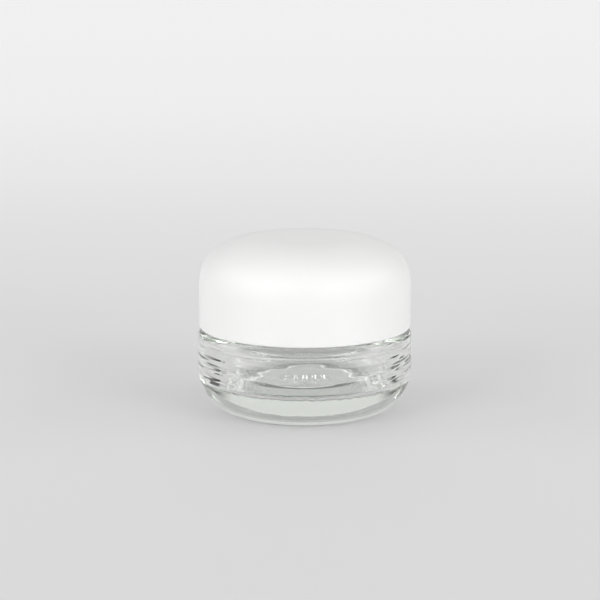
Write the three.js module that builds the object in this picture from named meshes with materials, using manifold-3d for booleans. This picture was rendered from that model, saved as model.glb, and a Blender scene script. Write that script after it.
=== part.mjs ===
// A screw-cap cosmetic cream jar in five pieces: a thick clear glass jar, a domed white cap shell, the
// threaded insert that snaps into the shell, the foam liner held in the insert, and a sealing disc with a
// pull tab that sits in the jar's mouth. Millimetres, +Z up. The origin is the centre of the base, on the
// surface that the jar stands on. Every turned outline is a list of corners [radius, height, rounding],
// counter-clockwise round the material as seen with the axis on the left.
import * as THREE from "three";
import { mergeVertices } from "three/addons/utils/BufferGeometryUtils.js";
import Module from "manifold-3d";

const wasm = await Module();
wasm.setup();

const TURN = 2 * Math.PI;

// Fits
const FIT_GAP = 0.3; // between any two pieces that rest on, snap into or slide past each other
const EMBED = 0.4; // how far a rib or thread reaches into the wall that it grows from

// Glass jar: outside
const JAR_RADIUS = 28;
const SHOULDER_Z = 21.7; // the ledge under the cap's rim
const SHOULDER_ROUND = 2.3;
const HEEL = { across: 8.15, rise: 10.7, power: 1.74, steps: 9 };
const CONTACT_INNER_RADIUS = 17.2; // the ring that the jar stands on runs from here out to the heel
const PUSH_UP = 1.2; // height of the hollow under the base
const PUSH_UP_SLOPE = 4.4; // radial run of the hollow's sloping rim
const PUSH_UP_ROUND = 6;

// Glass jar: neck and inside
const NECK_RADIUS = 22.9;
const NECK_FILLET = 0.8;
const FINISH_HEIGHT = 9.6; // from the ledge to the rim
const BORE_RADIUS = 19.6;
const RIM_ROUND = 0.9;
const CAVITY_RADIUS = 22.4;
const TROUGH_Z = 7.9; // lowest part of the inside, a groove round the raised middle
const TROUGH_ROUND = 1.5;
const RAISED_FLOOR = { foot: 20.6, radius: 17.5, z: 9.9, round: 3, footRound: 1.2 };
const INNER_SHOULDER = { topZ: 23.4, lowZ: 19.8, topRound: 2, lowRound: 2.4 };

// Two-start right-hand thread between the neck and the insert
const THREAD_STARTS = 2;
const THREAD_LEAD = 8.5;
const JAR_THREAD = { crestRadius: 24, rootHalf: 1.15, crestHalf: 0.5, from: 0, to: 0.62 };
const JAR_THREAD_LOW = 1.95; // centre of the thread's lower end, above the ledge
const INSERT_THREAD = { crestRadius: 23.2, rootHalf: 0.75, crestHalf: 0.35, from: 0.26, to: 0.76 };
const THREAD_SEAT = 1.65; // how far the insert's thread hangs below the jar's
const THREAD_STEPS_PER_TURN = 48;
const THREAD_FADE = 0.07; // part of a turn over which each thread end runs out into the wall
const THREAD_END_SINK = 0.2; // how far below the wall's surface each thread end stops

// Cap shell
const TOTAL_HEIGHT = 45.35;
const CAP_RADIUS = 27.64;
const DOME = { across: 18.5, rise: 13.2, power: 2.615, steps: 13 };
const SHELL_WALL = 1.9;
const RIM_EDGE_ROUND = 0.5;
const SNAP_BEAD = { lift: 0.4, height: 0.6, depth: 0.7 }; // ring that holds the insert in the shell
const SHELL_RIBS = 6;
const RIB_THICKNESS = 1.2;
const RIB_INNER_RADIUS = 7;

// Cap insert
const INSERT_RADIUS = 25.4;
const INSERT_BORE = 24.35;
const INSERT_PANEL = 1.3;
const INSERT_TOP_ROUND = 1.3;
const CROWN = { inner: 22.2, outer: 23.9, height: 1.5 }; // upright ring whose notches take the shell's ribs
const LINER_CATCH = { depth: 0.6, height: 0.5 }; // small ring under the liner

// Liner and sealing disc
const LINER_THICKNESS = 1;
const LINER_EDGE_GAP = 0.4;
const DISC_RADIUS = 22.6;
const DISC_WALL = 0.8;
const DISC_LOW_ROUND = 0.6;
const DISH_DEPTH = 2.2; // the middle of the disc sits this far below its flange
const DISH_CORNER = 0.4;
const TAB = { radius: 9, thickness: 0.7, hinge: 1, lift: 1.2, segments: 12 };

// Facets
const TURNED_FACETS = 48;
const ARC_STEP = Math.PI / 8;

// Heights that follow from the sizes above
const CAP_Z = SHOULDER_Z + FIT_GAP;
const RIM_Z = SHOULDER_Z + FINISH_HEIGHT;
const FLANGE_Z = RIM_Z + FIT_GAP;
const DISC_TOP_Z = FLANGE_Z + DISC_WALL;
const LINER_Z = DISC_TOP_Z + FIT_GAP;
const PANEL_Z = LINER_Z + LINER_THICKNESS + FIT_GAP;
const PANEL_TOP_Z = PANEL_Z + INSERT_PANEL;
const BEAD_Z = CAP_Z + SNAP_BEAD.lift;
const INSERT_Z = BEAD_Z + SNAP_BEAD.height + FIT_GAP;
const DOME_Z = TOTAL_HEIGHT - DOME.rise;
const SHELL_BORE = CAP_RADIUS - SHELL_WALL;

const MATERIALS = {
  glass: { color: 0xdfe6e1, roughness: 0.05, metalness: 0, transparent: true, opacity: 0.4 },
  whitePlastic: { color: 0xf4f4f2, roughness: 0.45, metalness: 0 },
  naturalPlastic: { color: 0xeceae2, roughness: 0.5, metalness: 0 },
  foam: { color: 0xf2f2f0, roughness: 0.95, metalness: 0 },
  sealPlastic: { color: 0xe4e8e8, roughness: 0.35, metalness: 0 },
};

const counted = (count, make) => Array.from({ length: count }, (_, index) => make(index));

function roundedCorner(before, corner, after) {
  const [radius, height, rounding] = corner;
  const here = new THREE.Vector2(radius, height);
  const back = new THREE.Vector2(before[0], before[1]).sub(here).normalize();
  const ahead = new THREE.Vector2(after[0], after[1]).sub(here).normalize();
  const half = Math.acos(back.dot(ahead)) / 2;
  const centre = back.clone().add(ahead).setLength(rounding / Math.sin(half)).add(here);
  const reach = rounding / Math.tan(half);
  const start = back.multiplyScalar(reach).add(here).sub(centre);
  const end = ahead.multiplyScalar(reach).add(here).sub(centre);
  const sweep = Math.atan2(start.cross(end), start.dot(end));
  const steps = Math.max(2, Math.ceil(Math.abs(sweep) / ARC_STEP));
  const pivot = new THREE.Vector2();
  return counted(steps + 1, (i) => start.clone().rotateAround(pivot, (sweep * i) / steps).add(centre));
}

function outline(corners) {
  return corners.flatMap((corner, i) => {
    const [radius, height, rounding] = corner;
    const sharp = [new THREE.Vector2(radius, height)];
    return rounding ? roundedCorner(corners[i - 1], corner, corners[i + 1]) : sharp;
  });
}

// A quarter of a superellipse, from [centreR + across, centreZ] round to [centreR, centreZ + rise].
function quarterCurve(centreR, centreZ, { across, rise, power, steps }) {
  return counted(steps + 1, (i) => {
    const angle = (i / steps) * (TURN / 4);
    const out = i === steps ? 0 : Math.cos(angle) ** (2 / power);
    return [centreR + across * out, centreZ + rise * Math.sin(angle) ** (2 / power)];
  });
}

function solidOf(geometry) {
  geometry.deleteAttribute("normal");
  geometry.deleteAttribute("uv");
  const merged = mergeVertices(geometry);
  const vertProperties = merged.attributes.position.array;
  const triVerts = new Uint32Array(merged.index.array);
  return new wasm.Manifold(new wasm.Mesh({ numProp: 3, vertProperties, triVerts }));
}

function geometryOf(solid) {
  const { vertProperties, triVerts } = solid.getMesh();
  const geometry = new THREE.BufferGeometry();
  geometry.setAttribute("position", new THREE.BufferAttribute(vertProperties, 3));
  geometry.setIndex(new THREE.BufferAttribute(triVerts, 1));
  geometry.computeVertexNormals();
  return geometry;
}

function turned(corners) {
  return solidOf(new THREE.LatheGeometry(outline(corners), TURNED_FACETS).rotateX(TURN / 4));
}

function box(sizeX, sizeY, sizeZ, centre) {
  return solidOf(new THREE.BoxGeometry(sizeX, sizeY, sizeZ).translate(...centre));
}

function aroundAxis(solid, count) {
  return counted(count, (i) => solid.rotate([0, 0, (i * 360) / count]));
}

// A straight bar wrapped along the helix: its length runs round the axis, its width along the axis, and its
// height from inside the wall out to the crest. Both ends sink into the wall.
function threadBar(wallRadius, thread, lowEndZ) {
  const { crestRadius, rootHalf, crestHalf, from, to } = thread;
  const steps = Math.round((to - from) * THREAD_STEPS_PER_TURN);
  const depth = crestRadius - wallRadius;
  const side = Math.sign(depth);
  const bar = new THREE.BoxGeometry(1, 2, 1, steps, 1, 1).translate(0.5, 0, 0.5);
  const position = bar.attributes.position;
  for (let i = 0; i < position.count; i++) {
    const turns = from + position.getX(i) * (to - from);
    const fade = Math.min(1, (turns - from) / THREAD_FADE, (to - turns) / THREAD_FADE);
    const height = depth * fade - side * THREAD_END_SINK * (1 - fade);
    const isCrest = position.getZ(i) > 0.5;
    const radius = wallRadius + (isCrest ? height : -side * EMBED);
    const half = isCrest ? crestHalf : rootHalf;
    const z = lowEndZ + THREAD_LEAD * turns + side * position.getY(i) * half;
    position.setXYZ(i, radius * Math.cos(TURN * turns), radius * Math.sin(TURN * turns), z);
  }
  return solidOf(bar);
}

function withThreads(solid, wallRadius, thread, lowEndZ) {
  const bars = aroundAxis(threadBar(wallRadius, thread, lowEndZ), THREAD_STARTS);
  return bars.reduce((joined, bar) => joined.add(bar), solid);
}

function jarBody() {
  const heel = quarterCurve(JAR_RADIUS - HEEL.across, HEEL.rise, { ...HEEL, rise: -HEEL.rise }).reverse();
  const glass = turned([
    [0, PUSH_UP],
    [CONTACT_INNER_RADIUS - PUSH_UP_SLOPE, PUSH_UP, PUSH_UP_ROUND],
    [CONTACT_INNER_RADIUS, 0],
    ...heel,
    [JAR_RADIUS, SHOULDER_Z, SHOULDER_ROUND],
    [NECK_RADIUS, SHOULDER_Z, NECK_FILLET],
    [NECK_RADIUS, RIM_Z, RIM_ROUND],
    [BORE_RADIUS, RIM_Z, RIM_ROUND],
    [BORE_RADIUS, INNER_SHOULDER.topZ, INNER_SHOULDER.topRound],
    [CAVITY_RADIUS, INNER_SHOULDER.lowZ, INNER_SHOULDER.lowRound],
    [CAVITY_RADIUS, TROUGH_Z, TROUGH_ROUND],
    [RAISED_FLOOR.foot, TROUGH_Z, RAISED_FLOOR.footRound],
    [RAISED_FLOOR.radius, RAISED_FLOOR.z, RAISED_FLOOR.round],
    [0, RAISED_FLOOR.z],
  ]);
  return withThreads(glass, NECK_RADIUS, JAR_THREAD, SHOULDER_Z + JAR_THREAD_LOW);
}

// The dome's surface, sunk by the wall thickness given, from its foot up to the middle of the flat top.
function domeCurve(wall) {
  const sunk = { ...DOME, across: DOME.across - wall, rise: DOME.rise - wall };
  return [...quarterCurve(CAP_RADIUS - DOME.across, DOME_Z, sunk), [0, TOTAL_HEIGHT - wall]];
}

function shellRib() {
  const length = SHELL_BORE + EMBED - RIB_INNER_RADIUS;
  const bottom = PANEL_TOP_Z + FIT_GAP;
  const height = TOTAL_HEIGHT - bottom;
  const bar = box(length, RIB_THICKNESS, height, [RIB_INNER_RADIUS + length / 2, 0, bottom + height / 2]);
  const underDome = turned([[0, CAP_Z], [SHELL_BORE + EMBED, CAP_Z], ...domeCurve(SHELL_WALL - EMBED)]);
  return bar.intersect(underDome);
}

function capShell() {
  const beadTop = BEAD_Z + SNAP_BEAD.height;
  const skin = turned([
    ...domeCurve(SHELL_WALL).reverse(),
    [SHELL_BORE, beadTop],
    [SHELL_BORE - SNAP_BEAD.depth, beadTop - SNAP_BEAD.height / 2],
    [SHELL_BORE, BEAD_Z],
    [SHELL_BORE, CAP_Z],
    [CAP_RADIUS, CAP_Z, RIM_EDGE_ROUND],
    ...domeCurve(0),
  ]);
  return aroundAxis(shellRib(), SHELL_RIBS).reduce((joined, rib) => joined.add(rib), skin);
}

function crownNotch() {
  const length = CROWN.outer - CROWN.inner + 2 * EMBED;
  const height = CROWN.height + EMBED;
  const centre = [(CROWN.inner + CROWN.outer) / 2, 0, PANEL_TOP_Z + height / 2];
  return box(length, RIB_THICKNESS + 2 * FIT_GAP, height, centre);
}

function capInsert() {
  const crownTop = PANEL_TOP_Z + CROWN.height;
  const catchTop = LINER_Z - FIT_GAP;
  const catchRadius = INSERT_BORE - LINER_CATCH.depth;
  const cup = turned([
    [0, PANEL_Z],
    [INSERT_BORE, PANEL_Z],
    [INSERT_BORE, catchTop],
    [catchRadius, catchTop - LINER_CATCH.height / 2],
    [INSERT_BORE, catchTop - LINER_CATCH.height],
    [INSERT_BORE, INSERT_Z],
    [INSERT_RADIUS, INSERT_Z],
    [INSERT_RADIUS, PANEL_TOP_Z, INSERT_TOP_ROUND],
    [CROWN.outer, PANEL_TOP_Z],
    [CROWN.outer, crownTop],
    [CROWN.inner, crownTop],
    [CROWN.inner, PANEL_TOP_Z],
    [0, PANEL_TOP_Z],
  ]);
  const notched = aroundAxis(crownNotch(), SHELL_RIBS).reduce((left, notch) => left.subtract(notch), cup);
  return withThreads(notched, INSERT_BORE, INSERT_THREAD, SHOULDER_Z + JAR_THREAD_LOW - THREAD_SEAT);
}

function capLiner() {
  const radius = INSERT_BORE - LINER_EDGE_GAP;
  const top = LINER_Z + LINER_THICKNESS;
  return turned([[0, LINER_Z], [radius, LINER_Z], [radius, top], [0, top]]);
}

// A half-moon tab that lies in the disc's dish, joined to its floor along the straight edge.
function pullTab(floorZ) {
  const halfMoon = new THREE.Shape().absarc(0, 0, TAB.radius, 0, TURN / 2);
  const depth = TAB.thickness;
  const curveSegments = TAB.segments;
  const flap = new THREE.ExtrudeGeometry(halfMoon, { depth, bevelEnabled: false, curveSegments });
  const flapSolid = solidOf(flap.translate(0, 0, floorZ + TAB.lift - depth));
  const hingeZ = floorZ + (TAB.lift - EMBED) / 2;
  return flapSolid.add(box(2 * TAB.radius, TAB.hinge, TAB.lift + EMBED, [0, 0, hingeZ]));
}

function sealingDisc() {
  const plugRadius = BORE_RADIUS - FIT_GAP;
  const dishRadius = plugRadius - DISC_WALL;
  const dishZ = DISC_TOP_Z - DISH_DEPTH;
  const disc = turned([
    [0, dishZ - DISC_WALL],
    [plugRadius, dishZ - DISC_WALL, DISC_LOW_ROUND],
    [plugRadius, FLANGE_Z],
    [DISC_RADIUS, FLANGE_Z],
    [DISC_RADIUS, DISC_TOP_Z],
    [dishRadius, DISC_TOP_Z],
    [dishRadius, dishZ, DISH_CORNER],
    [0, dishZ],
  ]);
  return disc.add(pullTab(dishZ));
}

function piece(name, solid, material) {
  const mesh = new THREE.Mesh(geometryOf(solid), new THREE.MeshStandardMaterial(MATERIALS[material]));
  mesh.name = name;
  return mesh;
}

const cap = new THREE.Group();
cap.add(piece("cap_shell", capShell(), "whitePlastic"));
cap.add(piece("cap_insert", capInsert(), "naturalPlastic"));
cap.add(piece("cap_liner", capLiner(), "foam"));

const jar = new THREE.Group();
jar.add(piece("jar_body", jarBody(), "glass"));
jar.add(piece("sealing_disc", sealingDisc(), "sealPlastic"));
jar.add(cap);

export default jar;
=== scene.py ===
"""Looks for a clear glass cream jar with a domed white screw cap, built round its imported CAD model.

Every outline is a list of corners (radius, height, rounding) in millimetres. It runs counter-clockwise
round the material, as seen with the axis on the left. Meshes are made in metres, in the CAD frame.
"""

import math

import bpy
import numpy as np
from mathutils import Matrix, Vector


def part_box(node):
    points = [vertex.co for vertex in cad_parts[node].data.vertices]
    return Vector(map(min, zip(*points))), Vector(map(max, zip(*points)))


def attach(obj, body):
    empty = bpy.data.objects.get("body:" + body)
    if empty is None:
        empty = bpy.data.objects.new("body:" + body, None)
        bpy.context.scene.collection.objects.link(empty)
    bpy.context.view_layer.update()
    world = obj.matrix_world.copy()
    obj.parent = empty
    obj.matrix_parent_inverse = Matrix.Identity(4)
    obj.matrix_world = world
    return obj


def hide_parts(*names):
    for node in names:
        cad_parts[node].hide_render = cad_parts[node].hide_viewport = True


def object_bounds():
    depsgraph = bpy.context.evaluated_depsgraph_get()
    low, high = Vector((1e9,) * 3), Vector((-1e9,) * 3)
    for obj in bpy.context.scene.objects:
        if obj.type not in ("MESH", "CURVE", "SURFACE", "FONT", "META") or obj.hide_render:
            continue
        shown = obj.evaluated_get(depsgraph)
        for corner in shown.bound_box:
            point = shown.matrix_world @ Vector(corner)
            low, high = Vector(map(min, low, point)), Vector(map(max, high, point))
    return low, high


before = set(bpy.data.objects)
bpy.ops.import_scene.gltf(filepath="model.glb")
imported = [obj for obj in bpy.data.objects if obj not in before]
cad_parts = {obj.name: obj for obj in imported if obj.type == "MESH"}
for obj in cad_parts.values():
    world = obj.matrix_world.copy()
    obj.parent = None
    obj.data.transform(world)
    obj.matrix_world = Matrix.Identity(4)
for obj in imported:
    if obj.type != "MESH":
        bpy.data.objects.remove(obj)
cad_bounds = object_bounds()

MM = 0.001
TURN = 2 * math.pi


def box_mm(node):
    """The node's lowest and highest corners at rest, in millimetres."""
    low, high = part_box(node)
    return low / MM, high / MM


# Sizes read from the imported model
JAR_HIGH = box_mm("jar_body")[1]
JAR_RADIUS, RIM_Z = JAR_HIGH.x, JAR_HIGH.z
SHELL_LOW, SHELL_HIGH = box_mm("cap_shell")
CAP_RADIUS, CAP_Z, TOP_Z = SHELL_HIGH.x, SHELL_LOW.z, SHELL_HIGH.z
INSERT_LOW, INSERT_HIGH = box_mm("cap_insert")
LINER_LOW, LINER_HIGH = box_mm("cap_liner")
DISC_LOW, DISC_HIGH = box_mm("sealing_disc")

# Glass jar
FINISH_HEIGHT = 9.6
SHOULDER_Z = RIM_Z - FINISH_HEIGHT
SHOULDER_ROUND = 2.3
HEEL = {"across": 8.15, "rise": 10.7, "power": 1.74, "steps": 80}
CONTACT_INNER_RADIUS, CONTACT_ROUND = 17.2, 0.5
PUSH_UP, PUSH_UP_SLOPE, PUSH_UP_ROUND = 1.2, 4.4, 6.0
NECK_RADIUS, NECK_FILLET = 22.9, 0.8
BORE_RADIUS, RIM_ROUND = 19.6, 0.9
CAVITY_RADIUS, TROUGH_Z, TROUGH_ROUND = 22.4, 7.9, 1.5  # a groove round the raised floor
RAISED_FLOOR = {"foot": 20.6, "radius": 17.5, "z": 9.9, "round": 3.0, "foot_round": 1.2}
INNER_SHOULDER = {"top_z": 23.4, "low_z": 19.8, "top_round": 2.0, "low_round": 2.4}

# Two-start thread
THREAD_STARTS, THREAD_LEAD = 2, 8.5
JAR_THREAD = {"depth": 1.1, "root_half": 1.2, "crest_half": 0.3, "from": 0.0, "to": 0.62}
INSERT_THREAD = {"depth": 1.15, "root_half": 0.8, "crest_half": 0.25, "from": 0.26, "to": 0.76}
JAR_THREAD_LOW, THREAD_SEAT, THREAD_FADE = 1.95, 1.65, 0.07

# Cap
DOME = {"across": 18.5, "rise": 13.2, "power": 2.615}
SHELL_WALL, SHELL_LIP_ROUND = 1.9, 0.5
SNAP_BEAD = {"lift": 0.4, "height": 0.6, "depth": 0.7, "round": 0.15}
SHELL_RIBS, RIB_THICKNESS, RIB_INNER_RADIUS = 6, 1.2, 7.0
INSERT_BORE, INSERT_PANEL, INSERT_ROUND = 24.35, 1.3, 1.3
CROWN = {"inner": 22.2, "outer": 23.9, "height": 1.5, "foot_round": 0.3}
LINER_CATCH = {"depth": 0.6, "height": 0.5, "round": 0.12}

# Sealing disc
DISC_WALL, DISC_FOOT_ROUND = 0.8, 0.6
DISC_DISH = {"depth": 2.2, "round": 0.4}
TAB = {"radius": 9.0, "thickness": 0.7, "lift": 1.2, "bevel": 0.15, "steps": 48}
TAB_HINGE = {"width": 1.0, "bevel": 0.12}

# Shared by the moulded pieces
FIT_GAP = 0.3
EMBED = 0.4  # how far a tool reaches into the piece that it joins or cuts
EDGE_ROUND, SOFT_EDGE_ROUND = 0.2, 0.25

# Mesh density
FACETS = 224
ARC_STEP = math.radians(6)
ARC_LONGEST = 0.25
CURVE_STEPS = 40
SUPPORT = 0.12
LONGEST = 0.9
INSERT_THREAD_STEP = 0.17
BEVEL_SEGMENTS, BEVEL_ANGLE = 3, math.radians(40)
SHARP_ANGLE = math.radians(38)
ON_SURFACE = 0.01  # a point this near to a surface lies on it


# Outlines

def rounded_corner(before, corner, after):
    """Points on the arc that rounds a corner, between the corners before and after it."""
    here = np.array(corner[:2], float)
    rounding = corner[2]
    back = np.array(before[:2]) - here
    ahead = np.array(after[:2]) - here
    back, ahead = back / np.linalg.norm(back), ahead / np.linalg.norm(ahead)
    half = math.acos(float(back @ ahead)) / 2
    middle = (back + ahead) / np.linalg.norm(back + ahead)
    centre = here + middle * rounding / math.sin(half)
    start = here + back * rounding / math.tan(half) - centre
    end = here + ahead * rounding / math.tan(half) - centre
    sweep = math.atan2(start[0] * end[1] - start[1] * end[0], float(start @ end))
    steps = max(3, math.ceil(abs(sweep) / ARC_STEP), math.ceil(abs(sweep) * rounding / ARC_LONGEST))
    turns = sweep * np.arange(steps + 1) / steps
    x = start[0] * np.cos(turns) - start[1] * np.sin(turns)
    y = start[0] * np.sin(turns) + start[1] * np.cos(turns)
    return list(zip(centre[0] + x, centre[1] + y))


def subdivided(start, end, longest):
    """Points from start up to, but not including, end, with a short step next to both."""
    start, end = np.array(start), np.array(end)
    length = float(np.linalg.norm(end - start))
    if length <= min(longest, 3 * SUPPORT):
        return [tuple(start)]
    inner = max(1, math.ceil((length - 2 * SUPPORT) / longest))
    places = np.linspace(SUPPORT, length - SUPPORT, inner + 1)
    return [tuple(start)] + [tuple(start + (end - start) * place / length) for place in places]


def outline(corners, longest_at=lambda r, z: LONGEST):
    """The outline's points. longest_at gives the longest step at a place."""
    points = []
    for i, corner in enumerate(corners):
        if len(corner) == 3:
            points += rounded_corner(corners[i - 1], corner, corners[i + 1])
        else:
            points.append(corner)
    fine = []
    for start, end in zip(points, points[1:]):
        middle = (np.array(start) + np.array(end)) / 2
        fine += subdivided(start, end, longest_at(*middle))
    return np.array(fine + [points[-1]], float)


def quarter_curve(centre_r, centre_z, across, rise, power, steps=CURVE_STEPS):
    """A quarter of a superellipse: straight out at centre_z, round to straight up or down at centre_r."""
    angles = np.linspace(0, TURN / 4, steps + 1)
    out = np.clip(np.cos(angles), 0, 1) ** (2 / power)
    up = np.clip(np.sin(angles), 0, 1) ** (2 / power)
    return list(zip(centre_r + across * out, centre_z + rise * up))


# Meshes

def mesh_object(name, vertices, faces):
    mesh = bpy.data.meshes.new(name)
    mesh.from_pydata(vertices, [], faces)
    mesh.validate()
    mesh.shade_smooth()
    made = bpy.data.objects.new(name, mesh)
    bpy.context.scene.collection.objects.link(made)
    return made


def turned(name, points, warp=None):
    """A solid of revolution, from an outline that starts and ends on the axis.

    warp(radii, heights, angles) gives the moved radii and heights.
    """
    angles = TURN * np.arange(FACETS) / FACETS
    radii = np.repeat(points[:, :1], FACETS, axis=1)
    heights = np.repeat(points[:, 1:], FACETS, axis=1)
    if warp:
        radii, heights = warp(radii, heights, angles[None, :])
    rows, vertices = [], []
    for i in range(len(points)):
        first = len(vertices)
        on_axis = points[i, 0] < 1e-6
        if on_axis:
            vertices.append((0.0, 0.0, heights[i, 0] * MM))
            rows.append(np.full(FACETS, first))
            continue
        x = radii[i] * np.cos(angles) * MM
        y = radii[i] * np.sin(angles) * MM
        vertices += list(zip(x.tolist(), y.tolist(), (heights[i] * MM).tolist()))
        rows.append(np.arange(first, first + FACETS))
    faces = [face for low, high in zip(rows, rows[1:]) for face in band(low, high)]
    return mesh_object(name, vertices, faces)


def band(low, high):
    """The faces between two rows of points: quads, or triangles where a row is a single point."""
    quads = np.stack([low, np.roll(low, -1), np.roll(high, -1), high], axis=1)
    if low[0] == low[1]:
        return quads[:, [0, 2, 3]].tolist()
    if high[0] == high[1]:
        return quads[:, [0, 1, 2]].tolist()
    return quads.tolist()


def prism(name, polygon, low, high, to_point, bevel=0.0):
    """A closed prism over a counter-clockwise polygon (u, v), with w from low to high.

    to_point(u, v, w) gives the place of a point.
    """
    count = len(polygon)
    vertices = [Vector(to_point(u, v, w)) * MM for w in (low, high) for u, v in polygon]
    sides = [[i, (i + 1) % count, count + (i + 1) % count, count + i] for i in range(count)]
    faces = [list(range(count))[::-1], list(range(count, 2 * count)), *sides]
    made = mesh_object(name, vertices, faces)
    if bevel:
        modifier = made.modifiers.new("edge", "BEVEL")
        modifier.width = bevel * MM
        modifier.segments = BEVEL_SEGMENTS
        modifier.limit_method = "ANGLE"
        modifier.angle_limit = BEVEL_ANGLE
        apply_modifiers(made)
    return made


def apply_modifiers(obj):
    graph = bpy.context.evaluated_depsgraph_get()
    mesh = bpy.data.meshes.new_from_object(obj.evaluated_get(graph))
    obj.modifiers.clear()
    obj.data = mesh


def combined(base, tools, operation):
    """Joins solid tools to base, or cuts them from it."""
    for tool in tools:
        modifier = base.modifiers.new(tool.name, "BOOLEAN")
        modifier.operation = operation
        modifier.object = tool
        modifier.solver = "EXACT"
    apply_modifiers(base)
    for tool in tools:
        bpy.data.objects.remove(tool)
    return base


def crisp_edges(obj):
    """Smooth shading, apart from the sharp edges."""
    obj.data.shade_smooth()
    obj.data.set_sharp_from_angle(angle=SHARP_ANGLE)
    return obj


def round_axis(make, count):
    """The pieces that make(index, place) makes, with place turning a point to each of count angles."""
    made = []
    for i in range(count):
        cosine, sine = math.cos(TURN * i / count), math.sin(TURN * i / count)
        made.append(make(i, lambda x, y, z, c=cosine, s=sine: (x * c - y * s, x * s + y * c, z)))
    return made


# Warps

def smooth_step(x):
    x = np.clip(x, 0, 1)
    return x * x * (3 - 2 * x)


def bell(x):
    return np.exp(-(x**2))


def blend(low, high, share):
    return low + (high - low) * share


def near(value, surface):
    return np.abs(value - surface) < ON_SURFACE


def thread_height(z, angles, thread, low_z):
    """How far the thread stands out from its wall at each point."""
    height = np.zeros(np.broadcast(z, angles).shape)
    for start in range(THREAD_STARTS):
        turns = (angles / TURN - start / THREAD_STARTS) % 1
        fade = np.minimum(turns - thread["from"], thread["to"] - turns) / THREAD_FADE
        off_centre = np.abs(z - low_z - THREAD_LEAD * turns)
        flank = (thread["root_half"] - off_centre) / (thread["root_half"] - thread["crest_half"])
        height = np.maximum(height, thread["depth"] * smooth_step(flank) * smooth_step(fade))
    return height


# Glass jar

# Slow waves of the inside wall: how many go round it, phase, twist per millimetre up, size
WALL_WAVES = [(2, 0.9, 0.125, 0.10), (3, 2.1, -0.0875, 0.07), (5, 4.0, 0.2, 0.05), (9, 1.2, -0.15, 0.02)]
WAVES_FADE = {"top": 3, "foot": 1.6}

# Fine laps of the inside wall. They drift by sums of waves: how many go round it, phase, size
LAPS = {"pitch": 2.9, "height": 0.13, "between_seams": 0.12, "high_up": 0.35, "fades_at": 17, "fade": 4}
FINE_LAPS = {"pitch": 1.3, "share": 0.5, "drift": -1.7}
LAP_DRIFT = [(2, 0.7, 0.9), (5, 2.0, 0.6)]

FLOOR_WAVE = {"height": 0.05, "phase": 0.6, "widest": 16, "fade": 2}
GROOVE_WAVE = {"radius": 21.3, "half": 1.0, "height": 0.07}
SEAM = {"z": SHOULDER_Z - SHOULDER_ROUND - 0.1, "half": 0.12, "reach": 0.75, "height": 0.05}
SEAM_INNER_RADIUS = JAR_RADIUS - 0.5
FINE_BAND = 0.8  # small steps this far to each side of the seam

# Round marks under the base, in place of the moulded characters: x of the row's start, y, radius, count
MARK_PITCH, MARK_DEPTH = 2.3, 0.95
MARK_ROWS = [(-5.75, 0.9, 0.85, 6), (-2.3, -2.3, 0.6, 3)]
MARKS = [(x + MARK_PITCH * i, y, radius) for x, y, radius, count in MARK_ROWS for i in range(count)]

# The longest steps along the jar's outline
THREAD_STEP, MARK_STEP, WALL_STEP, FLOOR_STEP, SEAM_STEP = 0.19, 0.22, 0.3, 0.6, 0.1
MARKED_RADIUS, FLAT_FLOOR_RADIUS = 12, 16


def wall_wave(z, angles):
    """Slow unevenness of the inside wall, as pressed glass has."""
    return sum(
        size * np.sin(count * angles + phase + twist * z)
        for count, phase, twist, size in WALL_WAVES
    )


def wall_laps(z, angles):
    """Fine laps round the inside wall, strongest low down and next to the mould's two side seams."""
    drift = sum(size * np.sin(count * angles + phase) for count, phase, size in LAP_DRIFT)
    strength = blend(LAPS["between_seams"], 1, np.abs(np.cos(angles)) ** 4)
    coarse = np.sin(TURN * z / LAPS["pitch"] + drift)
    fine = FINE_LAPS["share"] * np.sin(TURN * z / FINE_LAPS["pitch"] + FINE_LAPS["drift"] * drift)
    low_down = blend(LAPS["high_up"], 1, smooth_step((LAPS["fades_at"] - z) / LAPS["fade"]))
    return LAPS["height"] * strength * low_down * (coarse + fine)


def floor_wave(r, angles):
    """Slow unevenness of the raised floor."""
    on_floor = smooth_step((RAISED_FLOOR["radius"] - r) / FLOOR_WAVE["fade"])
    slow = np.sin(2 * angles + FLOOR_WAVE["phase"]) * smooth_step(r / FLOOR_WAVE["widest"])
    return FLOOR_WAVE["height"] * on_floor * slow


def groove_wave(r, z, angles):
    """Fine unevenness of the groove round the raised floor."""
    in_groove = (z < RAISED_FLOOR["z"]) * bell((r - GROOVE_WAVE["radius"]) / GROOVE_WAVE["half"])
    fine = np.sin(31 * angles) * np.sin(12 * angles + 1) + 0.6 * np.sin(57 * angles + 2)
    return GROOVE_WAVE["height"] * in_groove * fine


def mould_seam(r, z, angles):
    """Sets the wall back a little to both sides of the mould's seam, which leaves a fine, uneven ridge."""
    uneven = 0.7 + 0.3 * np.sin(23 * angles) * np.sin(61 * angles)
    ridge = bell((z - SEAM["z"]) / SEAM["half"]) * uneven
    near_seam = (r > SEAM_INNER_RADIUS) & (np.abs(z - SEAM["z"]) < SEAM["reach"])
    return SEAM["height"] * (ridge - 1) * near_seam


def neck_thread(r, z, angles):
    on_neck = near(r, NECK_RADIUS) & (z > SHOULDER_Z + NECK_FILLET) & (z < RIM_Z - RIM_ROUND)
    return on_neck * thread_height(z, angles, JAR_THREAD, SHOULDER_Z + JAR_THREAD_LOW)


def base_marks(r, z, angles):
    """How far the round marks stand down from the base's hollow."""
    x, y = r * np.cos(angles), r * np.sin(angles)
    dots = sum(
        np.exp(-(((x - mark_x) ** 2 + (y - mark_y) ** 2) / radius**2) ** 3)
        for mark_x, mark_y, radius in MARKS
    )
    under = near(z, PUSH_UP) & (r < CONTACT_INNER_RADIUS)
    return MARK_DEPTH * dots * under


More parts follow.
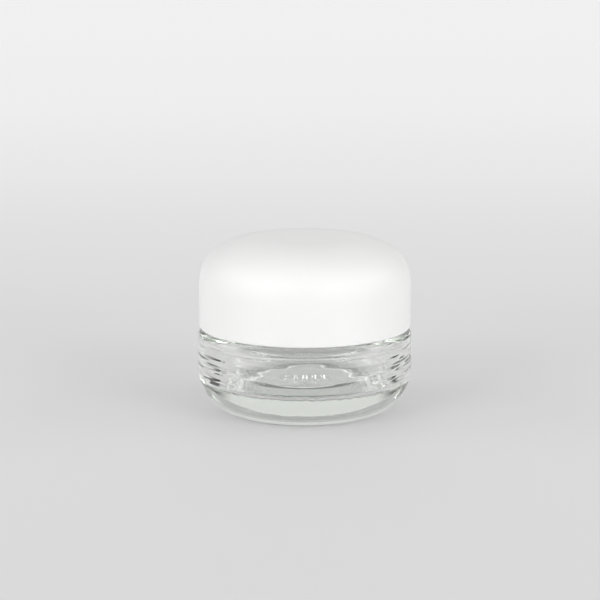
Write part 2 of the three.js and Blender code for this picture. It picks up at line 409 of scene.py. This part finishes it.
def jar_warp(r, z, angles):
    inside = (r < CAVITY_RADIUS + ON_SURFACE) & (z > TROUGH_Z - ON_SURFACE)
    in_cavity = inside * smooth_step((SHOULDER_Z - z) / WAVES_FADE["top"])
    on_wall = in_cavity * smooth_step((r - RAISED_FLOOR["foot"]) / WAVES_FADE["foot"])
    wall = on_wall * (wall_wave(z, angles) + wall_laps(z, angles))
    floor = in_cavity * (floor_wave(r, angles) + groove_wave(r, z, angles))
    moved_r = r + neck_thread(r, z, angles) + wall + mould_seam(r, z, angles)
    moved_z = z + floor - base_marks(r, z, angles)
    return moved_r, moved_z


def jar_step(r, z):
    """The longest step along the outline at a place: short where threads, waves or marks need it."""
    if near(r, NECK_RADIUS) and SHOULDER_Z < z < RIM_Z:
        return THREAD_STEP
    if near(z, PUSH_UP) and r < MARKED_RADIUS:
        return MARK_STEP
    if FLAT_FLOOR_RADIUS < r <= CAVITY_RADIUS and TROUGH_Z - ON_SURFACE < z < SHOULDER_Z:
        return WALL_STEP
    if r <= FLAT_FLOOR_RADIUS and TROUGH_Z < z < SHOULDER_Z:
        return FLOOR_STEP
    if abs(z - SEAM["z"]) < FINE_BAND:
        return SEAM_STEP
    return LONGEST


def heel_curve():
    """From the ring that the jar stands on up to the straight wall."""
    across, rise = HEEL["across"], HEEL["rise"]
    return quarter_curve(JAR_RADIUS - across, rise, across, -rise, HEEL["power"], HEEL["steps"])[::-1]


def jar_body():
    corners = [
        (0, PUSH_UP),
        (CONTACT_INNER_RADIUS - PUSH_UP_SLOPE, PUSH_UP, PUSH_UP_ROUND),
        (CONTACT_INNER_RADIUS, 0, CONTACT_ROUND),
        *heel_curve(),
        (JAR_RADIUS, SEAM["z"] - FINE_BAND),
        (JAR_RADIUS, SHOULDER_Z, SHOULDER_ROUND),
        (NECK_RADIUS, SHOULDER_Z, NECK_FILLET),
        (NECK_RADIUS, RIM_Z, RIM_ROUND),
        (BORE_RADIUS, RIM_Z, RIM_ROUND),
        (BORE_RADIUS, INNER_SHOULDER["top_z"], INNER_SHOULDER["top_round"]),
        (CAVITY_RADIUS, INNER_SHOULDER["low_z"], INNER_SHOULDER["low_round"]),
        (CAVITY_RADIUS, TROUGH_Z, TROUGH_ROUND),
        (RAISED_FLOOR["foot"], TROUGH_Z, RAISED_FLOOR["foot_round"]),
        (RAISED_FLOOR["radius"], RAISED_FLOOR["z"], RAISED_FLOOR["round"]),
        (0, RAISED_FLOOR["z"]),
    ]
    return turned("glass_jar", outline(corners, jar_step), jar_warp)


# Cap

def dome_curve(wall):
    """The dome's outline at a depth below its surface, from the side up to the axis."""
    across, rise = DOME["across"] - wall, DOME["rise"] - wall
    curve = quarter_curve(CAP_RADIUS - DOME["across"], TOP_Z - DOME["rise"], across, rise, DOME["power"])
    return [*curve, (0, TOP_Z - wall)]


def shell_rib(index, place):
    low = INSERT_HIGH.z - CROWN["height"] + FIT_GAP
    under_dome = [(r, z) for r, z in dome_curve(SHELL_WALL - EMBED) if z > low and r > RIB_INNER_RADIUS]
    outer, top = under_dome[0][0], under_dome[-1][1]
    polygon = [(RIB_INNER_RADIUS, low), (outer, low), *under_dome, (RIB_INNER_RADIUS, top)]
    half = RIB_THICKNESS / 2
    return prism(f"rib_{index}", polygon, -half, half, lambda u, v, w: place(u, -w, v))


def cap_shell():
    bore = CAP_RADIUS - SHELL_WALL
    bead_low = CAP_Z + SNAP_BEAD["lift"]
    bead_top = bead_low + SNAP_BEAD["height"]
    corners = [
        *dome_curve(SHELL_WALL)[::-1],
        (bore, bead_top),
        (bore - SNAP_BEAD["depth"], (bead_low + bead_top) / 2, SNAP_BEAD["round"]),
        (bore, bead_low),
        (bore, CAP_Z, EDGE_ROUND),
        (CAP_RADIUS, CAP_Z, SHELL_LIP_ROUND),
        *dome_curve(0),
    ]
    shell = turned("white_cap", outline(corners))
    return crisp_edges(combined(shell, round_axis(shell_rib, SHELL_RIBS), "UNION"))


def insert_warp(r, z, angles):
    low_z = SHOULDER_Z + JAR_THREAD_LOW - THREAD_SEAT
    in_bore = near(r, INSERT_BORE) & (z < LINER_LOW.z - FIT_GAP - LINER_CATCH["height"])
    return r - in_bore * thread_height(z, angles, INSERT_THREAD, low_z), z


def insert_step(r, z):
    return INSERT_THREAD_STEP if near(r, INSERT_BORE) else LONGEST


def crown_notch(index, place):
    """Room for one of the shell's ribs in the insert's crown."""
    low, high = INSERT_HIGH.z - CROWN["height"], INSERT_HIGH.z + EMBED
    inner, outer = CROWN["inner"] - EMBED, CROWN["outer"] + EMBED
    polygon = [(inner, low), (outer, low), (outer, high), (inner, high)]
    half = RIB_THICKNESS / 2 + FIT_GAP
    return prism(f"notch_{index}", polygon, -half, half, lambda u, v, w: place(u, -w, v))


def cap_insert():
    crown_top = INSERT_HIGH.z
    panel_top = crown_top - CROWN["height"]
    panel_low = panel_top - INSERT_PANEL
    catch_top = LINER_LOW.z - FIT_GAP
    catch_low = catch_top - LINER_CATCH["height"]
    corners = [
        (0, panel_low),
        (INSERT_BORE, panel_low),
        (INSERT_BORE, catch_top),
        (INSERT_BORE - LINER_CATCH["depth"], (catch_top + catch_low) / 2, LINER_CATCH["round"]),
        (INSERT_BORE, catch_low),
        (INSERT_BORE, INSERT_LOW.z, EDGE_ROUND),
        (INSERT_HIGH.x, INSERT_LOW.z, EDGE_ROUND),
        (INSERT_HIGH.x, panel_top, INSERT_ROUND),
        (CROWN["outer"], panel_top, CROWN["foot_round"]),
        (CROWN["outer"], crown_top, SOFT_EDGE_ROUND),
        (CROWN["inner"], crown_top, SOFT_EDGE_ROUND),
        (CROWN["inner"], panel_top, CROWN["foot_round"]),
        (0, panel_top),
    ]
    insert = turned("threaded_insert", outline(corners, insert_step), insert_warp)
    return crisp_edges(combined(insert, round_axis(crown_notch, SHELL_RIBS), "DIFFERENCE"))


def cap_liner():
    radius = LINER_HIGH.x
    corners = [
        (0, LINER_LOW.z),
        (radius, LINER_LOW.z, EDGE_ROUND),
        (radius, LINER_HIGH.z, EDGE_ROUND),
        (0, LINER_HIGH.z),
    ]
    return crisp_edges(turned("foam_liner", outline(corners)))


# Sealing disc

def upright(u, v, w):
    return u, v, w


def pull_tab(floor_z):
    """A half-moon flap on a straight rib that rises from the disc's floor."""
    radius, top = TAB["radius"], floor_z + TAB["lift"]
    angles = np.linspace(0, TURN / 2, TAB["steps"] + 1)
    half_moon = [(radius * math.cos(a), radius * math.sin(a)) for a in angles]
    flap = prism("flap", half_moon, top - TAB["thickness"], top, upright, TAB["bevel"])
    half = TAB_HINGE["width"] / 2
    ends = [(-radius, -half), (radius, -half), (radius, half), (-radius, half)]
    hinge = prism("hinge", ends, floor_z - EMBED, top, upright, TAB_HINGE["bevel"])
    return [flap, hinge]


def sealing_disc():
    plug = BORE_RADIUS - FIT_GAP
    dish = plug - DISC_WALL
    top = DISC_HIGH.z
    floor_z = top - DISC_DISH["depth"]
    corners = [
        (0, DISC_LOW.z),
        (plug, DISC_LOW.z, DISC_FOOT_ROUND),
        (plug, top - DISC_WALL, EDGE_ROUND),
        (DISC_HIGH.x, top - DISC_WALL, SOFT_EDGE_ROUND),
        (DISC_HIGH.x, top, SOFT_EDGE_ROUND),
        (dish, top, SOFT_EDGE_ROUND),
        (dish, floor_z, DISC_DISH["round"]),
        (0, floor_z),
    ]
    disc = turned("seal_disc", outline(corners))
    return crisp_edges(combined(disc, pull_tab(floor_z), "UNION"))


# Materials

GLASS = {"ior": 1.52, "tint": (0.88, 0.94, 0.86), "density": 12}
GLASS_WAVES = {"scale": 260, "detail": 2.0, "depth": 0.0004, "strength": 0.05}

# Each plastic's colour and roughness vary between two values; depths are in metres
NOISE_LOW, NOISE_HIGH = 0.3, 0.7
CLOUD_SCALE, CLOUD_DETAIL = 45, 3.0
GRAIN_DETAIL, GRAIN_STRENGTH = 4.0, 0.3
PLASTIC_IOR = 1.49
SCATTER_RADIUS, SCATTER_SCALE = (1.0, 0.95, 0.9), 0.0015
PLASTICS = {
    "cap_white": {
        "colours": [(0.81, 0.81, 0.805), (0.83, 0.83, 0.825)],
        "roughness": (0.42, 0.52), "grain_scale": 1500, "grain_depth": 0.00003, "scatter": 0.1,
    },
    "insert_plastic": {
        "colours": [(0.84, 0.84, 0.81), (0.88, 0.88, 0.86)],
        "roughness": (0.3, 0.42), "grain_scale": 900, "grain_depth": 0.00004, "scatter": 0.15,
    },
    "liner_foam": {
        "colours": [(0.86, 0.86, 0.85), (0.92, 0.92, 0.91)],
        "roughness": (0.8, 0.95), "grain_scale": 900, "grain_depth": 0.0003, "scatter": 0.0,
    },
    "seal_plastic": {
        "colours": [(0.84, 0.87, 0.88), (0.9, 0.92, 0.92)],
        "roughness": (0.25, 0.4), "grain_scale": 500, "grain_depth": 0.00005, "scatter": 0.3,
    },
}
FOAM_CELLS = {"scale": 1400, "depth": 0.0002, "strength": 0.6}


def new_material(name):
    material = bpy.data.materials.new(name)
    material.use_nodes = True
    return material, material.node_tree.nodes["Principled BSDF"]


def add_noise(material, scale, detail):
    nodes, links = material.node_tree.nodes, material.node_tree.links
    place = nodes.new("ShaderNodeTexCoord")
    noise = nodes.new("ShaderNodeTexNoise")
    noise.inputs["Scale"].default_value = scale
    noise.inputs["Detail"].default_value = detail
    links.new(place.outputs["Object"], noise.inputs["Vector"])
    return noise.outputs["Fac"]


def add_ramp(material, value, low, high):
    """The colours low to high, over the middle of the noise's range."""
    nodes, links = material.node_tree.nodes, material.node_tree.links
    ramp = nodes.new("ShaderNodeValToRGB")
    ramp.color_ramp.elements[0].position = NOISE_LOW
    ramp.color_ramp.elements[1].position = NOISE_HIGH
    ramp.color_ramp.elements[0].color = (*low, 1)
    ramp.color_ramp.elements[1].color = (*high, 1)
    links.new(value, ramp.inputs["Fac"])
    return ramp.outputs["Color"]


def add_range(material, value, low, high):
    nodes, links = material.node_tree.nodes, material.node_tree.links
    node = nodes.new("ShaderNodeMapRange")
    node.inputs["To Min"].default_value = low
    node.inputs["To Max"].default_value = high
    links.new(value, node.inputs["Value"])
    return node.outputs["Result"]


def add_bump(material, shader, height, distance, strength):
    """Adds a bump on top of any that the shader already has."""
    nodes, links = material.node_tree.nodes, material.node_tree.links
    bump = nodes.new("ShaderNodeBump")
    bump.inputs["Distance"].default_value = distance
    bump.inputs["Strength"].default_value = strength
    links.new(height, bump.inputs["Height"])
    for coarser in shader.inputs["Normal"].links:
        links.new(coarser.from_socket, bump.inputs["Normal"])
    links.new(bump.outputs["Normal"], shader.inputs["Normal"])


def glass_material():
    material, shader = new_material("clear_glass")
    shader.inputs["Base Color"].default_value = (1, 1, 1, 1)
    shader.inputs["Roughness"].default_value = 0.0
    shader.inputs["IOR"].default_value = GLASS["ior"]
    shader.inputs["Transmission Weight"].default_value = 1.0
    waves = add_noise(material, GLASS_WAVES["scale"], GLASS_WAVES["detail"])
    add_bump(material, shader, waves, GLASS_WAVES["depth"], GLASS_WAVES["strength"])
    nodes, links = material.node_tree.nodes, material.node_tree.links
    absorb = nodes.new("ShaderNodeVolumeAbsorption")
    absorb.inputs["Color"].default_value = (*GLASS["tint"], 1)
    absorb.inputs["Density"].default_value = GLASS["density"]
    links.new(absorb.outputs["Volume"], nodes["Material Output"].inputs["Volume"])
    return material


def plastic_material(name):
    look = PLASTICS[name]
    material, shader = new_material(name)
    links = material.node_tree.links
    cloud = add_noise(material, CLOUD_SCALE, CLOUD_DETAIL)
    grain = add_noise(material, look["grain_scale"], GRAIN_DETAIL)
    links.new(add_ramp(material, cloud, *look["colours"]), shader.inputs["Base Color"])
    links.new(add_range(material, grain, *look["roughness"]), shader.inputs["Roughness"])
    shader.inputs["IOR"].default_value = PLASTIC_IOR
    shader.inputs["Subsurface Weight"].default_value = look["scatter"]
    shader.inputs["Subsurface Radius"].default_value = SCATTER_RADIUS
    shader.inputs["Subsurface Scale"].default_value = SCATTER_SCALE
    add_bump(material, shader, grain, look["grain_depth"], GRAIN_STRENGTH)
    return material


def foam_material():
    material = plastic_material("liner_foam")
    nodes, links = material.node_tree.nodes, material.node_tree.links
    shader = nodes["Principled BSDF"]
    cells = nodes.new("ShaderNodeTexVoronoi")
    cells.inputs["Scale"].default_value = FOAM_CELLS["scale"]
    place = nodes.new("ShaderNodeTexCoord")
    links.new(place.outputs["Object"], cells.inputs["Vector"])
    add_bump(material, shader, cells.outputs["Distance"], FOAM_CELLS["depth"], FOAM_CELLS["strength"])
    return material


# Pieces

def dress(piece, body, node, material):
    piece.data.materials.clear()
    piece.data.materials.append(material)
    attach(piece, body)
    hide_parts(node)


dress(jar_body(), "jar", "jar_body", glass_material())
dress(cap_shell(), "cap", "cap_shell", plastic_material("cap_white"))
dress(cap_insert(), "cap", "cap_insert", plastic_material("insert_plastic"))
dress(cap_liner(), "liner", "cap_liner", foam_material())
dress(sealing_disc(), "disc", "sealing_disc", plastic_material("seal_plastic"))


# Stage

FLOOR_REACH, FLOOR_DROP = 6.0, 0.00003
# Painted light: the floor's grey grows lighter with distance behind the jar, standing in for how the light
# falls on it
FLOOR_PAINTED_LIGHT = [(0.12, 0.42), (0.28, 0.45), (0.4, 0.48), (0.62, 0.51), (1.0, 0.52)]  # metres back, shade
# Painted light: the floor glows with its own grey, which lightens the jar's shadows and the floor seen
# through the glass
FLOOR_GLOW = 0.75

# The light's strength depends on two cosines of its direction: height (to +Z) and back (to +Y).
# A four-number ramp says where it starts and ends, and its strength there.
TENT_BY_HEIGHT = (0.25, 0.8, 2.05, 0.3)
TENT_BY_BACK = (-0.6, 0.3, 0.8, 1.0)
LOW_BAND_BY_BACK = (0.84, 0.92, 0.03, 0.74)
HIGH_BAND_BY_FRONT = (-0.8, -0.3, 0.5, 0.08)
HIGH_BAND_TO_BEHIND, HIGH_BAND_BEHIND = (0.62, 0.82), 0.74
LOW_TO_HIGH_BAND, HIGH_BAND_TO_TENT = (0.18, 0.22), (0.42, 0.5)
SEEN_SHADE = 0.87

# Axis, half angle, soft edge and strength of each bright patch; one pair in front and one at the sides
FRONT_LAMP, SIDE_LAMP = (14, 6, 4.8), (16, 8, 1.7)
LAMPS = [
    ((-1, -1, 0.5), FRONT_LAMP),
    ((1, -1, 0.5), FRONT_LAMP),
    ((-1, 0, 0.45), SIDE_LAMP),
    ((1, 0, 0.45), SIDE_LAMP),
]

# The camera's measures are in widths of the jar
CAMERA_ELEVATION = 12.4
CAMERA_DISTANCE = 11
PICTURE_WIDTH = 2.811
AIM_UP, AIM_LEFT = 0.105, 0.0225

LIGHT_STEPS, GLOSS_STEPS = 24, 12


def grey(shade):
    return (shade, shade, shade, 1)


def floor_ramp(material):
    """Painted light: the floor's grey grows lighter with distance behind the jar, standing in for how the
    light falls on it.
    """
    nodes, links = material.node_tree.nodes, material.node_tree.links
    place = nodes.new("ShaderNodeTexCoord")
    split = nodes.new("ShaderNodeSeparateXYZ")
    ramp = nodes.new("ShaderNodeValToRGB")
    links.new(place.outputs["Object"], split.inputs["Vector"])
    links.new(split.outputs["Y"], ramp.inputs["Fac"])
    shades = ramp.color_ramp.elements
    for end, (distance, shade) in zip(shades, (FLOOR_PAINTED_LIGHT[0], FLOOR_PAINTED_LIGHT[-1])):
        end.position = distance
        end.color = grey(shade)
    for distance, shade in FLOOR_PAINTED_LIGHT[1:-1]:
        shades.new(distance).color = grey(shade)
    return ramp.outputs["Color"]


def stage_floor():
    """A pale floor just below the jar that glows a little: painted light, which lightens the jar's shadows
    and the floor seen through the glass.
    """
    sides = [(-1, -1), (1, -1), (1, 1), (-1, 1)]
    corners = [(x * FLOOR_REACH, y * FLOOR_REACH, -FLOOR_DROP) for x, y in sides]
    floor = mesh_object("floor", corners, [[0, 1, 2, 3]])
    material, shader = new_material("floor_painted_glow")
    shades = floor_ramp(material)
    # Painted light: the floor's graded grey is also its glow
    for socket in ("Base Color", "Emission Color"):
        material.node_tree.links.new(shades, shader.inputs[socket])
    shader.inputs["Emission Strength"].default_value = FLOOR_GLOW
    shader.inputs["Roughness"].default_value = 0.6
    shader.inputs["Specular IOR Level"].default_value = 0.1
    floor.data.materials.append(material)


class WorldLight:
    """Light that depends on direction alone, built up in the world's nodes."""

    def __init__(self):
        world = bpy.data.worlds.new("studio")
        bpy.context.scene.world = world
        world.use_nodes = True
        self.nodes, self.links = world.node_tree.nodes, world.node_tree.links
        self.nodes.clear()
        self.direction = self.nodes.new("ShaderNodeTexCoord").outputs["Generated"]

    def toward(self, axis):
        """The cosine of the angle between the direction and an axis."""
        dot = self.nodes.new("ShaderNodeVectorMath")
        dot.operation = "DOT_PRODUCT"
        dot.inputs[1].default_value = Vector(axis).normalized()
        self.links.new(self.direction, dot.inputs[0])
        return dot.outputs["Value"]

    def put(self, value, socket):
        """Sets a socket to a number, or links another socket to it."""
        if isinstance(value, bpy.types.NodeSocket):
            self.links.new(value, socket)
        else:
            socket.default_value = value

    def stepped(self, value, start, end, low, high):
        """A smooth step from low to high as value goes from start to end."""
        step = self.nodes.new("ShaderNodeMapRange")
        step.interpolation_type = "SMOOTHSTEP"
        for name, number in (("From Min", start), ("From Max", end), ("To Min", low), ("To Max", high)):
            self.put(number, step.inputs[name])
        self.links.new(value, step.inputs["Value"])
        return step.outputs["Result"]

    def combine(self, operation, *values):
        """The sum or product of several sockets."""
        total = values[0]
        for value in values[1:]:
            node = self.nodes.new("ShaderNodeMath")
            node.operation = operation
            self.links.new(total, node.inputs[0])
            self.links.new(value, node.inputs[1])
            total = node.outputs["Value"]
        return total

    def lamp(self, axis, half_angle, edge, strength):
        inner, outer = math.cos(math.radians(half_angle)), math.cos(math.radians(half_angle + edge))
        return self.stepped(self.toward(axis), outer, inner, 0, strength)

    def finish(self, strength, seen):
        """Lights the scene with strength; the camera sees a plain shade instead."""
        room, plain, path, mix, out = (
            self.nodes.new(f"ShaderNode{kind}")
            for kind in ("Background", "Background", "LightPath", "MixShader", "OutputWorld")
        )
        self.links.new(strength, room.inputs["Strength"])
        room.inputs["Color"].default_value = grey(1)
        plain.inputs["Color"].default_value = grey(seen)
        self.links.new(path.outputs["Is Camera Ray"], mix.inputs["Fac"])
        self.links.new(room.outputs["Background"], mix.inputs[1])
        self.links.new(plain.outputs["Background"], mix.inputs[2])
        self.links.new(mix.outputs["Shader"], out.inputs["Surface"])


def studio_light():
    """A bright tent over two bands: a dark low one and a dim high one, both bright behind the jar."""
    light = WorldLight()
    height, back = light.toward((0, 0, 1)), light.toward((0, 1, 0))
    overhead = light.stepped(height, *TENT_BY_HEIGHT)
    tent = light.combine("MULTIPLY", overhead, light.stepped(back, *TENT_BY_BACK))
    low_band = light.stepped(back, *LOW_BAND_BY_BACK)
    beside = light.stepped(back, *HIGH_BAND_BY_FRONT)
    high_band = light.stepped(back, *HIGH_BAND_TO_BEHIND, beside, HIGH_BAND_BEHIND)
    bands = light.stepped(height, *LOW_TO_HIGH_BAND, low_band, high_band)
    sky = light.stepped(height, *HIGH_BAND_TO_TENT, bands, tent)
    lamps = [light.lamp(axis, *shape) for axis, shape in LAMPS]
    light.finish(light.combine("ADD", sky, *lamps), SEEN_SHADE)


def place_camera():
    """Looks along +Y and down, as far off as a product photograph is taken."""
    low, high = cad_bounds
    middle = (low + high) / 2
    width = high.x - low.x
    distance = CAMERA_DISTANCE * width
    elevation = math.radians(CAMERA_ELEVATION)
    away = Vector((0, -math.cos(elevation), math.sin(elevation)))
    upward = Vector((0, math.sin(elevation), math.cos(elevation)))
    right = Vector((1, 0, 0))
    camera_data = bpy.data.cameras.new("camera")
    camera_data.lens = camera_data.sensor_width * distance / (PICTURE_WIDTH * width)
    camera = bpy.data.objects.new("camera", camera_data)
    bpy.context.scene.collection.objects.link(camera)
    camera.location = middle + away * distance
    aim = middle + upward * AIM_UP * width - right * AIM_LEFT * width
    camera.rotation_euler = (aim - camera.location).to_track_quat("-Z", "Y").to_euler()
    bpy.context.scene.camera = camera


def light_paths():
    """Enough steps for light to pass through all of the glass's walls."""
    cycles = bpy.context.scene.cycles
    cycles.max_bounces = LIGHT_STEPS
    cycles.transmission_bounces = LIGHT_STEPS
    cycles.glossy_bounces = GLOSS_STEPS


stage_floor()
studio_light()
place_camera()
light_paths()
bpy.context.scene.view_settings.view_transform = "Standard"
